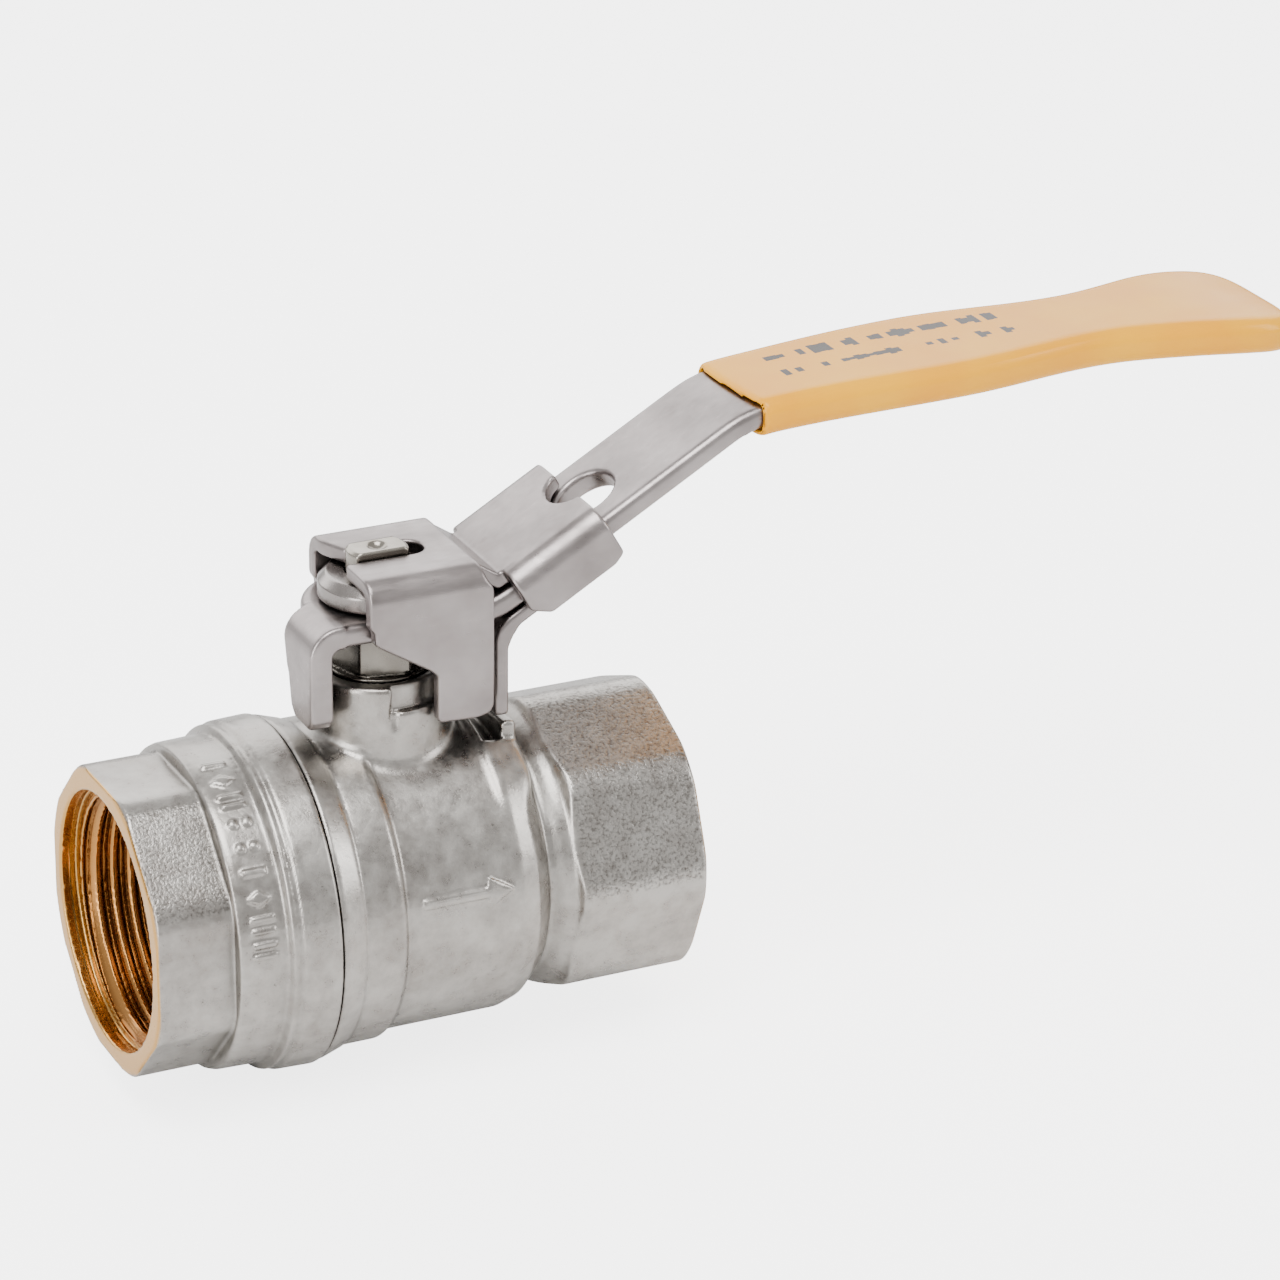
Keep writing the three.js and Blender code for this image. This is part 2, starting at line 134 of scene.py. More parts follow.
def skinShape(name, shape, low, high, cell, material, body, node, slot):
    low = np.array(low, float) - 2 * cell
    count = np.ceil((np.array(high) + 2 * cell - low) / cell / 8).astype(int)
    values = sampleShape(shape, low, cell, count)
    inside = values < 0
    corners = [(a, b, c) for a in (0, 1) for b in (0, 1) for c in (0, 1)]
    size = np.array(inside.shape) - 1
    view = lambda grid, o: grid[o[0]:o[0] + size[0], o[1]:o[1] + size[1], o[2]:o[2] + size[2]]
    total = sum(view(inside, o).astype(np.int8) for o in corners)
    mixed = (total > 0) & (total < 8)
    cells = np.argwhere(mixed)
    number = np.full(mixed.shape, -1, np.int64)
    number[mixed] = np.arange(len(cells))
    at = {o: values[tuple((cells + o).T)] for o in corners}
    crossing = np.zeros((len(cells), 3))
    hits = np.zeros(len(cells))
    for a in corners:
        for axis in range(3):
            if a[axis]:
                continue
            b = tuple(1 if i == axis else a[i] for i in range(3))
            cut = (at[a] < 0) != (at[b] < 0)
            share = np.where(cut, at[a] / np.where(cut, at[a] - at[b], 1), 0)
            crossing += np.where(cut[:, None], np.array(a) + share[:, None] * (np.array(b) - a), 0)
            hits += cut
    points = low + cell * (cells + crossing / hits[:, None])
    quads = []
    for axis in range(3):
        one, two = [np.eye(3, dtype=int)[i] for i in range(3) if i != axis]
        lower = [slice(1, -1)] * 3
        upper = [slice(1, -1)] * 3
        lower[axis], upper[axis] = slice(0, -1), slice(1, None)
        change = inside[tuple(lower)] != inside[tuple(upper)]
        spot = np.argwhere(change) + [0 if i == axis else 1 for i in range(3)]
        ring = [number[tuple((spot - o).T)] for o in (one + two, two, 0 * one, one)]
        quad = np.stack(ring, 1)
        turn = inside[tuple(spot.T)] != (axis == 1)
        quads.append(np.where(turn[:, None], quad, quad[:, ::-1]))
    quads = np.concatenate(quads)
    probe = 0.02
    for _ in range(4):  # settle each point on the true surface
        here = shape(*points.T)
        slope = np.stack([(shape(*(points + probe * e).T) - here) / probe for e in np.eye(3)], 1)
        move = slope * (here / np.maximum((slope ** 2).sum(1), 0.3))[:, None]
        points -= np.clip(move, -0.5 * cell, 0.5 * cell)
    mesh = bpy.data.meshes.new(name)
    mesh.vertices.add(len(points))
    mesh.vertices.foreach_set("co", (points * mm).ravel())
    mesh.loops.add(quads.size)
    mesh.loops.foreach_set("vertex_index", quads.ravel())
    mesh.polygons.add(len(quads))
    mesh.polygons.foreach_set("loop_start", np.arange(0, quads.size, 4))
    mesh.update(calc_edges=True)
    mesh.validate()
    mesh.shade_smooth()
    mesh.materials.append(material)
    piece = bpy.data.objects.new(name, mesh)
    bpy.context.collection.objects.link(piece)
    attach(piece, body)
    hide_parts(node)
    print("made", name, len(quads), "faces")
    return piece


# materials

def colour(hexCode):  # sRGB hex to linear
    parts = [int(hexCode[i:i + 2], 16) / 255 for i in (1, 3, 5)]
    linear = [p / 12.92 if p <= 0.04045 else ((p + 0.055) / 1.055) ** 2.4 for p in parts]
    return (*linear, 1)


def addNode(tree, kind, inputs=None, **settings):
    node = tree.nodes.new("ShaderNode" + kind)
    for key, value in settings.items():
        setattr(node, key, value)
    for key, value in (inputs or {}).items():
        if isinstance(value, bpy.types.NodeSocket):
            tree.links.new(value, node.inputs[key])
        else:
            node.inputs[key].default_value = value
    return node


def newMaterial(name, **fixed):
    material = bpy.data.materials.new(name)
    material.use_nodes = True
    tree = material.node_tree
    shader = next(n for n in tree.nodes if n.type == "BSDF_PRINCIPLED")
    for key, value in fixed.items():
        shader.inputs[key.replace("_", " ")].default_value = value
    place = addNode(tree, "TexCoord").outputs["Object"]
    scaled = addNode(tree, "VectorMath", {0: place, 1: (1000, 1000, 1000)}, operation="MULTIPLY")
    return material, tree, shader, scaled.outputs[0]  # the last is the place on the piece in millimetres


def noiseOf(tree, where, grain, detailLevel=3, roughness=0.55):  # grain in millimetres
    inputs = {"Vector": where, "Scale": 1 / grain, "Detail": detailLevel, "Roughness": roughness}
    return addNode(tree, "TexNoise", inputs).outputs["Fac"]


def remap(tree, value, low, high, toLow, toHigh):
    inputs = {"Value": value, 1: low, 2: high, 3: toLow, 4: toHigh}
    return addNode(tree, "MapRange", inputs).outputs[0]


def mixColours(tree, share, first, second):
    inputs = {0: share, 6: first, 7: second}
    return addNode(tree, "Mix", inputs, data_type="RGBA").outputs[2]


def mathOf(tree, operation, a, b=0.0):
    return addNode(tree, "Math", {0: a, 1: b}, operation=operation).outputs[0]


def darkenCrevices(tree, base, reach, floorShade):  # recesses lose light, as under a real lever
    crevice = addNode(tree, "AmbientOcclusion", {"Distance": reach * mm}, samples=6).outputs["AO"]
    shade = remap(tree, crevice, 0.3, 0.95, floorShade, 1.0)
    inputs = {0: 1.0, 6: base, 7: shade}
    return addNode(tree, "Mix", inputs, data_type="RGBA", blend_type="MULTIPLY").outputs[2]


# Nickel over blasted and cast brass. Smooth flats read pale and satin, blasted flats glitter with a grain
# of about half a millimetre, the cast barrel is faintly cloudy and crevices are darkened with painted shade.
platingLook = {
    "light": "#C2BEB8", "dark": "#A09A94", "pit": "#4E4842", "coarseGrain": 0.42, "coarseDepth": 0.075,
    "fineGrain": 0.4, "fineDepth": 0.014, "castGrain": 2.4, "castDepth": 0.07, "cloudGrain": 11,
    "creviceReach": 4.0, "creviceShade": 0.3, "satinRough": (0.24, 0.4), "blastedRough": 0.3,
}
# Bare brass left by the turning tool: pale gold on the end face, a richer and redder gold down the thread,
# and painted shade making the thread roots darker
bareBrassLook = {
    "face": "#DCAA62", "thread": "#C58C4E", "threadRootShade": "#8A5727", "feedMark": 0.3, "feedDepth": 0.0025,
    "mouthRadius": 17.3, "threadFrom": 21.5, "turnedRough": (0.16, 0.28),
}


def makePlatedBrass(name, side, flatsFrom, blastedHalf):
    look, bare = platingLook, bareBrassLook
    material, tree, shader, where = newMaterial(name, Metallic=1.0)
    split = addNode(tree, "SeparateXYZ", {0: where})
    flat = addNode(tree, "CombineXYZ", {"Y": split.outputs["Y"], "Z": split.outputs["Z"]}).outputs[0]
    radius = addNode(tree, "VectorMath", {0: flat}, operation="LENGTH").outputs["Value"]
    along = mathOf(tree, "MULTIPLY", split.outputs["X"], float(side))
    sideways = mathOf(tree, "ABSOLUTE", split.outputs["Y"])
    angle = mathOf(tree, "MULTIPLY", mathOf(tree, "ARCTAN2", sideways, split.outputs["Z"]), 180 / math.pi)
    offFlat = mathOf(tree, "ABSOLUTE", mathOf(tree, "SUBTRACT", angle, 45.0))
    onFlats = remap(tree, along, flatsFrom, flatsFrom + 0.4, 0.0, 1.0)
    inBlast = remap(tree, offFlat, blastedHalf - 1.2, blastedHalf + 0.4, 1.0, 0.0)
    blasted = mathOf(tree, "MULTIPLY", onFlats, inBlast)
    coarse = noiseOf(tree, where, look["coarseGrain"], 2, 0.6)
    fine = noiseOf(tree, where, look["fineGrain"], 2, 0.6)
    cast = noiseOf(tree, where, look["castGrain"], 4, 0.62)
    cloud = noiseOf(tree, where, look["cloudGrain"], 3)
    # colour: cloudy nickel, darker in the pits of the grain
    tone = remap(tree, mathOf(tree, "ADD", cast, cloud), 0.72, 1.2, 0.0, 1.0)
    plating = mixColours(tree, tone, colour(look["dark"]), colour(look["light"]))
    pits = mathOf(tree, "MULTIPLY", blasted, remap(tree, coarse, 0.55, 0.33, 0.0, 0.6))
    plating = mixColours(tree, pits, plating, colour(look["pit"]))
    specks = remap(tree, fine, 0.36, 0.3, 0.0, 0.5)
    specks = mathOf(tree, "MULTIPLY", specks, remap(tree, cast, 0.5, 0.4, 0.2, 1.0))
    plating = mixColours(tree, specks, plating, colour(look["pit"]))
    # the turned end face and the thread are cut after plating, so they show bare brass
    atFace = remap(tree, along, 37.2, 37.4, 0.0, 1.0)
    inMouth = remap(tree, radius, bare["mouthRadius"], bare["mouthRadius"] + 0.2, 1.0, 0.0)
    pastSeat = remap(tree, along, bare["threadFrom"], bare["threadFrom"] + 1.0, 0.0, 1.0)
    inMouth = mathOf(tree, "MULTIPLY", inMouth, pastSeat)
    isBare = mathOf(tree, "MAXIMUM", atFace, inMouth)
    inThread = remap(tree, along, 35.6, 34.6, 0.0, 1.0)
    brass = mixColours(tree, inThread, colour(bare["face"]), colour(bare["thread"]))
    # painted shade: the thread roots and the relief groove, at the largest radius, are painted dark brown
    brass = mixColours(tree, remap(tree, radius, 15.8, 16.6, 0.0, 1.0), brass, colour(bare["threadRootShade"]))
    brass = mixColours(tree, remap(tree, along, 34.9, 35.1, 0.0, 1.0), brass, colour(bare["face"]))
    base = mixColours(tree, isBare, plating, brass)
    base = darkenCrevices(tree, base, look["creviceReach"], look["creviceShade"])
    # relief in millimetres
    grain = addNode(tree, "Mix", {
        0: blasted, 2: mathOf(tree, "MULTIPLY", fine, look["fineDepth"]),
        3: mathOf(tree, "MULTIPLY", coarse, look["coarseDepth"]),
    }).outputs[0]
    barrel = remap(tree, onFlats, 0.0, 1.0, look["castDepth"], look["castDepth"] * 0.25)
    skin = mathOf(tree, "ADD", grain, mathOf(tree, "MULTIPLY", cast, barrel))
    feed = mathOf(tree, "SINE", mathOf(tree, "MULTIPLY", radius, 2 * math.pi / bare["feedMark"]))
    feed = mathOf(tree, "MULTIPLY", feed, bare["feedDepth"])
    relief = addNode(tree, "Mix", {0: isBare, 2: skin, 3: feed}).outputs[0]
    bump = addNode(tree, "Bump", {"Strength": 1.0, "Distance": mm, "Height": relief})
    satin = remap(tree, cast, 0.3, 0.7, *look["satinRough"])
    turned = remap(tree, fine, 0.3, 0.7, *bare["turnedRough"])
    roughSkin = addNode(tree, "Mix", {0: blasted, 2: satin, 3: look["blastedRough"]}).outputs[0]
    rough = addNode(tree, "Mix", {0: isBare, 2: roughSkin, 3: turned}).outputs[0]
    tree.links.new(base, shader.inputs["Base Color"])
    tree.links.new(rough, shader.inputs["Roughness"])
    tree.links.new(bump.outputs[0], shader.inputs["Normal"])
    return material


def makeMetal(name, light, dark, grain, roughLow, roughHigh, bumpMm, stretch=(1, 1, 1), shade=0.7):
    material, tree, shader, where = newMaterial(name, Metallic=1.0)
    drawn = addNode(tree, "VectorMath", {0: where, 1: stretch}, operation="MULTIPLY").outputs[0]
    fine = noiseOf(tree, drawn, grain, 4)
    broad = noiseOf(tree, where, 9, 3)
    base = mixColours(tree, remap(tree, broad, 0.35, 0.65, 0.0, 1.0), colour(dark), colour(light))
    tree.links.new(darkenCrevices(tree, base, 7.0, shade), shader.inputs["Base Color"])
    tree.links.new(remap(tree, fine, 0.3, 0.7, roughLow, roughHigh), shader.inputs["Roughness"])
    bump = addNode(tree, "Bump", {"Strength": 0.3, "Distance": bumpMm * mm, "Height": fine})
    tree.links.new(bump.outputs[0], shader.inputs["Normal"])
    return material


def makePlastic(name, light, dark, grain, roughness, bumpMm, coat=0.0, gloss=0.5):
    surface = {"Coat_Weight": coat, "Coat_Roughness": 0.08, "Specular_IOR_Level": gloss}
    material, tree, shader, where = newMaterial(name, **surface)
    fine = noiseOf(tree, where, grain, 3)
    broad = noiseOf(tree, where, 12, 2)
    base = mixColours(tree, remap(tree, broad, 0.35, 0.65, 0.0, 1.0), colour(dark), colour(light))
    tree.links.new(base, shader.inputs["Base Color"])
    rough = remap(tree, fine, 0.3, 0.7, roughness - 0.04, roughness + 0.05)
    tree.links.new(rough, shader.inputs["Roughness"])
    bump = addNode(tree, "Bump", {"Strength": 0.25, "Distance": bumpMm * mm, "Height": fine})
    tree.links.new(bump.outputs[0], shader.inputs["Normal"])
    return material


platedCap = makePlatedBrass("nickelPlatedBrassCap", -1, 27.3, 22.5)
platedBody = makePlatedBrass("nickelPlatedBrassBody", 1, 20.0, 45.0)
# Zinc-plated sheet: flat pinkish grey, faint rolling lines along the sheet, soft highlights on the bends
zincSteel = makeMetal("zincPlatedSheetSteel", "#ADA5A3", "#968E8C", 0.7, 0.27, 0.4, 0.03, (0.25, 1, 1))
turnedSteel = makeMetal("zincPlatedTurnedSteel", "#B0AAA6", "#968F8B", 1.6, 0.2, 0.3, 0.02, shade=0.35)
turnedNickel = makeMetal("nickelPlatedTurnedBrass", "#B8B2A8", "#9A9287", 1.6, 0.18, 0.3, 0.02, shade=0.25)
turnedBrass = makeMetal("turnedBrass", "#E3C28D", "#C9A468", 0.5, 0.2, 0.34, 0.04)
chromedBrass = makeMetal("polishedChromeBrass", "#DADCDE", "#CDD0D3", 2.0, 0.04, 0.09, 0.01)
ptfe = makePlastic("machinedPtfe", "#F2F0E9", "#E6E3DA", 0.8, 0.45, 0.03)
nitrile = makePlastic("mouldedNitrileRubber", "#26231F", "#1C1A18", 0.6, 0.6, 0.03)
# Dipped PVC: thick liquid skin, deep yellow-orange with a wet gloss and a slow waviness
dippedPvc = makePlastic("dippedPvc", "#FFB400", "#FAA900", 5.0, 0.2, 0.1, 0.0, 0.3)
# Black ink on the top of the grip: two rows of plain dashes of uneven height (middle, half height)
printLook = {
    "ink": "#2B2219", "from": 56.0, "to": 90.0, "stroke": 0.95, "gaps": 0.35, "shortest": 0.35, "seed": 31,
    "rows": ((4.0, 1.5), (-1.4, 1.15)),
}


def printDashes(material, look):
    tree = material.node_tree
    shader = next(n for n in tree.nodes if n.type == "BSDF_PRINCIPLED")
    coordinates = addNode(tree, "TexCoord")
    split = addNode(tree, "SeparateXYZ", {0: coordinates.outputs["Object"]})
    x, y = (mathOf(tree, "DIVIDE", split.outputs[axis], mm) for axis in "XY")
    facing = addNode(tree, "SeparateXYZ", {0: coordinates.outputs["Normal"]})
    up = mathOf(tree, "GREATER_THAN", facing.outputs["Z"], 0.7)
    after = mathOf(tree, "GREATER_THAN", x, look["from"])
    within = mathOf(tree, "MULTIPLY", after, mathOf(tree, "LESS_THAN", x, look["to"]))
    column = mathOf(tree, "FLOOR", mathOf(tree, "DIVIDE", x, look["stroke"]))
    total = None
    for centre, half in look["rows"]:
        seed = mathOf(tree, "ADD", column, centre * look["seed"])
        chance = addNode(tree, "TexWhiteNoise", {"W": seed}, noise_dimensions="1D").outputs["Value"]
        height = remap(tree, chance, look["gaps"], 1.0, half * look["shortest"], half)
        offset = mathOf(tree, "ABSOLUTE", mathOf(tree, "SUBTRACT", y, centre))
        inked = mathOf(tree, "LESS_THAN", offset, height)
        inked = mathOf(tree, "MULTIPLY", inked, mathOf(tree, "GREATER_THAN", chance, look["gaps"]))
        total = inked if total is None else mathOf(tree, "MAXIMUM", total, inked)
    share = mathOf(tree, "MULTIPLY", mathOf(tree, "MULTIPLY", up, within), total)
    base = shader.inputs["Base Color"].links[0].from_socket
    tree.links.new(mixColours(tree, share, base, colour(look["ink"])), shader.inputs["Base Color"])


printDashes(dippedPvc, printLook)
print("materials ready")


# body and end cap

endLook = {
    "halfLength": 37.5, "acrossFlats": 38.0, "cornerRound": 2.0, "capTurn": 1.0, "bodyTurn": 22.5,
    "mouth": 16.85, "relief": 17.15, "pitch": 2.309, "threadMiddle": 15.9, "threadDepth": 0.75,
    "firstCrest": 3.3, "ledge": 15.6, "bore": 12.5,
}


def octagonDistance(y, z, turn):
    reach = None
    for k in range(4):
        a = math.radians(turn + 45 * k)
        side = np.abs(y * math.sin(a) + z * math.cos(a)) - endLook["acrossFlats"] / 2
        reach = side if reach is None else smoothMax(reach, side, endLook["cornerRound"])
    return reach


def socketDistance(x, y, z, side):  # negative in the hollow of a threaded end
    r = np.hypot(y, z)
    depth = endLook["halfLength"] - side * x
    mouth, relief, middle = endLook["mouth"], endLook["relief"], endLook["threadMiddle"]
    ledge, bore = endLook["ledge"], endLook["bore"]
    base = np.interp(
        depth,
        [-2, 1.5, 1.7, 2.3, 2.6, 14, 14.2, 16.6, 40],
        [mouth, mouth, relief, relief, middle, middle, ledge, bore, bore],
    )
    fade = np.interp(depth, [2.3, 2.7, 12.8, 14], [0, 1, 1, 0])
    phase = (depth - endLook["firstCrest"]) / endLook["pitch"] - 0.25
    turn = np.arctan2(z, side * y) / (2 * math.pi)
    wave = np.arcsin(0.96 * np.sin(2 * math.pi * (phase + turn))) * 2 / math.pi
    return (r - base - endLook["threadDepth"] * fade * wave) * 0.75


capOuter = outlineTable([
    (-37.5, -3), (-37.5, 19.3), (-36.85, 20.6), (-27.5, 20.8), (-27.2, 20.9), (-26.6, 21.1), (-21.7, 21.25),
    (-21.3, 21.2), (-21.05, 21.5), (-20.6, 22.25), (-20.2, 22.35), (-19.85, 22.15), (-19.5, 22.2),
    (-19.1, 22.6), (-14.6, 22.75), (-14.3, 22.55), (-14.3, 19.3), (-8.6, 19.3), (-8.6, -3),
], 0.1)
bodyOuter = outlineTable([
    (-14.15, -3), (-14.15, 22.45), (-13.6, 22.45), (-10.9, 21.6), (-10.3, 21.15), (-10.0, 21.3), (-5.6, 21.3),
    (-5.1, 21.0), (-4.6, 20.45), (11.4, 20.45), (13.7, 19.75), (15.6, 18.1), (16.3, 17.2), (17.0, 17.3),
    (18.1, 18.0), (19.3, 18.5), (19.7, 19.0), (20.3, 20.3), (21.0, 20.7), (36.85, 20.6), (37.5, 19.3),
    (37.5, -3),
], 0.12)
bodyCavity = outlineTable([
    (-20, -3), (-20, 20.6), (-12.5, 20.6), (-12.5, 19.6), (-8, 19.6), (-7.4, 18.6), (4, 18.6), (10.4, 17),
    (14.8, 17), (14.8, -3),
], 0)


# raised cast marks round the band of the cap: dashes, dots and diamonds, no lettering
bandMarks = {
    "radius": 21.2, "from": 4.0, "pitch": 3.3, "count": 9, "stroke": 0.42, "height": 0.32, "middle": -24.1,
    "reach": 1.55, "pairGap": 0.75, "dotGap": 0.9, "dot": 0.55, "diamondHalf": 0.95,
}


def capMarks(x, y, z):
    look = bandMarks
    girth = np.arctan2(-y, z) * look["radius"]
    place = (girth - look["from"]) / look["pitch"]
    index = np.clip(np.round(place), 0, look["count"] - 1)
    u = girth - look["from"] - index * look["pitch"]
    v = x - look["middle"]
    bar = np.maximum(np.abs(u) - look["stroke"], np.abs(v) - look["reach"])
    pair = np.maximum(np.abs(np.abs(u) - look["pairGap"]) - look["stroke"] * 0.8, np.abs(v) - look["reach"])
    dot = np.minimum(np.hypot(u, v - look["dotGap"]), np.hypot(u, v + look["dotGap"])) - look["dot"]
    diamond = (np.abs(u) / look["diamondHalf"] + np.abs(v) / look["reach"] - 1) * 0.8
    kind = np.mod(index * 3 + index // 4, 4)
    mark = np.choose(kind.astype(int), [bar, dot, pair, diamond])
    r = np.hypot(y, z)
    return np.maximum(np.maximum(mark, r - look["radius"] - look["height"]), 20 - r)


def endCapShape(x, y, z):
    r = np.hypot(y, z)
    turned = capOuter(x, r)
    octagon = np.maximum(np.maximum(turned, octagonDistance(y, z, endLook["capTurn"])), x + 27.1)
    solid = smoothMin(octagon, np.maximum(turned, -27.35 - x), 0.25)
    solid = smoothMin(solid, capMarks(x, y, z), 0.35)
    pocket = np.maximum(r - 17, -14.8 - x)
    return np.maximum(np.maximum(solid, -socketDistance(x, y, z, -1)), -pocket)


bossLook = {"radius": 9.0, "top": 29.2, "step": 25.8, "core": 7.9, "fillet": 1.5}
lugLook = {"collarFrom": 10.9, "collarTo": 15.9, "pocketFloor": 18.6, "pocketHalf": 7.6, "lugTop": 21.2}
stopLook = {"low": (0.3, 7.5, 12), "high": (3.3, 12.6, 28.5), "round": 0.7}  # meets the leg when shut
arrowLook = {"radius": 20.5, "angle": 12, "middle": 3.5, "height": 20.85}
nickLook = {"place": (-1.6, -9.5, 25.6), "radii": (0.9, 1.2, 2.8)}  # where the boss steps down
wellLook = {"gland": 6.6, "stem": 5.1, "mouth": 6.9}  # radii of the hollow in the boss
flowArrow = outlineTable([
    (-6, -0.6), (3, -0.6), (3, -2), (6.4, 0), (3, 2), (3, 0.6), (-6, 0.6),
], 0.1)


def bodyShape(x, y, z):
    r = np.hypot(y, z)
    rho = np.hypot(x, y)
    turned = bodyOuter(x, r)
    octagon = smoothMax(turned, octagonDistance(y, z, endLook["bodyTurn"]), 0.35)
    solid = np.where(x < 18.6, turned, octagon)
    # a cast arrow for the flow, on the side of the body
    girth = (np.arctan2(z, -y) - math.radians(arrowLook["angle"])) * arrowLook["radius"]
    arrow = np.maximum(flowArrow(x - arrowLook["middle"], girth), r - arrowLook["height"])
    arrow = np.maximum(arrow, np.maximum(19 - r, y))
    solid = smoothMin(solid, arrow, 0.4)
    # the collar beside the boss, with a pocket and a low lug for the lock
    look = lugLook
    collar = smoothMax(smoothMax(r - 20.45, x - look["collarTo"], 1.4), look["collarFrom"] - x, 0.3)
    solid = smoothMin(solid, smoothMax(collar, 12.0 - z, 5.0), 1.6)
    pocket = np.maximum(np.abs(x - 12.5) - 1.3, np.abs(y) - look["pocketHalf"])
    solid = smoothMax(solid, -np.maximum(pocket, np.maximum(look["pocketFloor"] - r, -z)), 0.4)
    boss = smoothMax(rho - bossLook["radius"], z - bossLook["top"], 0.8)
    solid = smoothMin(solid, np.maximum(boss, 6 - z), bossLook["fillet"])
    lowered = np.maximum(-1.7 - x, bossLook["core"] - rho)
    lowered = np.maximum(lowered, np.maximum(bossLook["step"] - z, x - 14))
    lowered = np.maximum(lowered, np.abs(y) - 14)
    solid = smoothMax(solid, -lowered, 0.5)
    shifted = [(v - c) / a for v, c, a in zip((x, y, z), nickLook["place"], nickLook["radii"])]
    nick = (np.sqrt(shifted[0] ** 2 + shifted[1] ** 2 + shifted[2] ** 2) - 1) * nickLook["radii"][0]
    solid = smoothMax(solid, -nick, 0.3)
    half = look["pocketHalf"]
    lug = boxDistance(x, y, z, (13.8, -half, 12), (15.8, half, look["lugTop"]), 0.6)
    stop = boxDistance(x, y, z, stopLook["low"], stopLook["high"], stopLook["round"])
    solid = smoothMin(smoothMin(solid, lug, 0.6), stop, 1.2)
    well = np.maximum(rho - wellLook["gland"], np.abs(z - 14.8) - 6.8)
    well = np.minimum(well, np.maximum(rho - wellLook["stem"], 15 - z))
    well = np.minimum(well, np.maximum(rho - wellLook["mouth"], 25.2 - z))
    hollow = np.minimum(np.minimum(bodyCavity(x, r), socketDistance(x, y, z, 1)), well)
    return np.maximum(solid, -hollow)


# lever, nut, stem and gland

leverLook = {
    "top": 38.3, "thick": 3.0, "half": 8.1, "headRadius": 9.7, "rise": math.radians(30), "riseStart": 12.6,
    "riseEnd": 47.6, "end": 128.5, "endRound": 10.0, "bend": 0.9, "padlockHole": 4.0, "padlockX": 28.7,
}
widths = [(47.6, 8.1), (78, 9.5), (100, 7.5), (121, 10.7), (128.5, 10.7)]  # half width of the bar in the grip


def softRamp(x, start, width):  # 0 before start, then x - start, with a rounded bend
    t = np.clip((x - start) / width, -30, 30)
    return width * np.log1p(np.exp(t)) + np.maximum(x - start - 30 * width, 0)


def leverHeight(x):  # top face of the bar
    look = leverLook
    slope = math.tan(look["rise"])
    sloping = softRamp(x, look["riseStart"], look["bend"]) - softRamp(x, look["riseEnd"], 1.1)
    z = look["top"] + slope * sloping
    beyond = np.maximum(x - look["riseEnd"], 0)
    droop = np.maximum((x - 112) / 16, 0) ** 2 * 1.4
    return z + 2.2 * (1 - np.exp(-beyond / 24)) - droop


def leverHalf(x):
    x = np.clip(x, widths[0][0], widths[-1][0])
    half = np.zeros_like(x)
    for (x0, h0), (x1, h1) in zip(widths, widths[1:]):
        blend = (1 - np.cos(np.pi * np.clip((x - x0) / (x1 - x0), 0, 1))) / 2
        half = np.where((x >= x0) & (x <= x1), h0 + (h1 - h0) * blend, half)
    into = np.maximum(0, (x - leverLook["end"] + leverLook["endRound"]) / leverLook["endRound"])
    return half * (1 - into ** 4) ** 0.25


handleX = leverLook["end"] - (leverLook["end"] - 40) * (1 - np.sin(np.linspace(0, math.pi / 2, 60)))
handleEdge = [(float(x), float(leverHalf(np.array([x]))[0])) for x in handleX]
nearEdge = [(x, -h) for x, h in handleEdge[:-1]]
handlePlan = outlineTable([(0, -8.1), *nearEdge, *handleEdge[::-1][1:], (0, 8.1)], 0)


def stripDistance(x, z, thick, drop=0.0):  # a strip that follows the bar, drop millimetres under its top
    step = 0.05
    slope = (leverHeight(x + step) - leverHeight(x - step)) / (2 * step)
    across = 1 / np.sqrt(1 + slope ** 2)
    return np.abs((z - leverHeight(x)) * across + drop + thick / 2) - thick / 2


def barDistance(x, y, z):
    look = leverLook
    rounded = np.where(x < 0, np.hypot(x, y) - look["headRadius"], -look["headRadius"])
    head = np.maximum(np.abs(y) - look["half"], rounded)
    plan = np.where(x < 44, head, handlePlan(x, y))
    nearSide = np.maximum(np.abs(y + 3.43) - 4.68, np.abs(x + 4) - 4.6)  # the strip that folds into the leg
    return smoothMax(stripDistance(x, z, look["thick"]), np.minimum(plan, nearSide), 1.2)


legFace = outlineTable([
    (-8.1, 45), (-8.1, 25.8), (-7.0, 24.6), (-2.3, 24.6), (-1.0, 25.9), (-0.2, 30.0), (0.35, 31.0),
    (1.25, 35.0), (1.25, 45),
], 0.2)  # outline of the folded leg, seen along the pipe


def leverShape(x, y, z):
    look = leverLook
    bar = barDistance(x, y, z)
    bend = np.abs(np.hypot(x + 8.4, z - 34.3) - 2.45) - 1.55
    leg = np.where(z < 34.3, np.abs(x + 10.85) - 1.55, bend)
    leg = np.where(x > -8.4, np.abs(z - 36.8) - 1.5, leg)
    leg = np.maximum(leg, x + 7.5)
    leg = smoothMax(leg, legFace(y, z), 0.6)
    solid = smoothMin(bar, leg, 0.3)
    stemHole = np.maximum(np.hypot(x, y) - 4.15, np.abs(y) - 2.15)
    solid = smoothMax(solid, -stemHole, 0.3)
    tilt = look["rise"]
    centreZ = look["top"] + (look["padlockX"] - look["riseStart"]) * math.tan(tilt)
    along = (x - look["padlockX"]) * math.cos(tilt) + (z - centreZ) * math.sin(tilt)
    padlock = np.hypot(along, y) - look["padlockHole"]
    return smoothMax(solid, -padlock, 0.7)


def gripShape(x, y, z):
    plan = handlePlan(x, y) - 1.0
    side = stripDistance(x, z, 5.0, -1.0)
    lip = 48.75 + 0.006 * y * y - 0.05 * y - x
    skin = smoothMax(smoothMax(plan, side, 2.3), lip, 0.8)
    return np.maximum(skin, 0.3 - barDistance(x, y, z))


nutOuter = outlineTable([
    (38.6, -3), (38.6, 7.3), (38.8, 7.6), (40.7, 7.6), (41.9, 6.5), (41.9, -3),
], 0.08, 0.05)


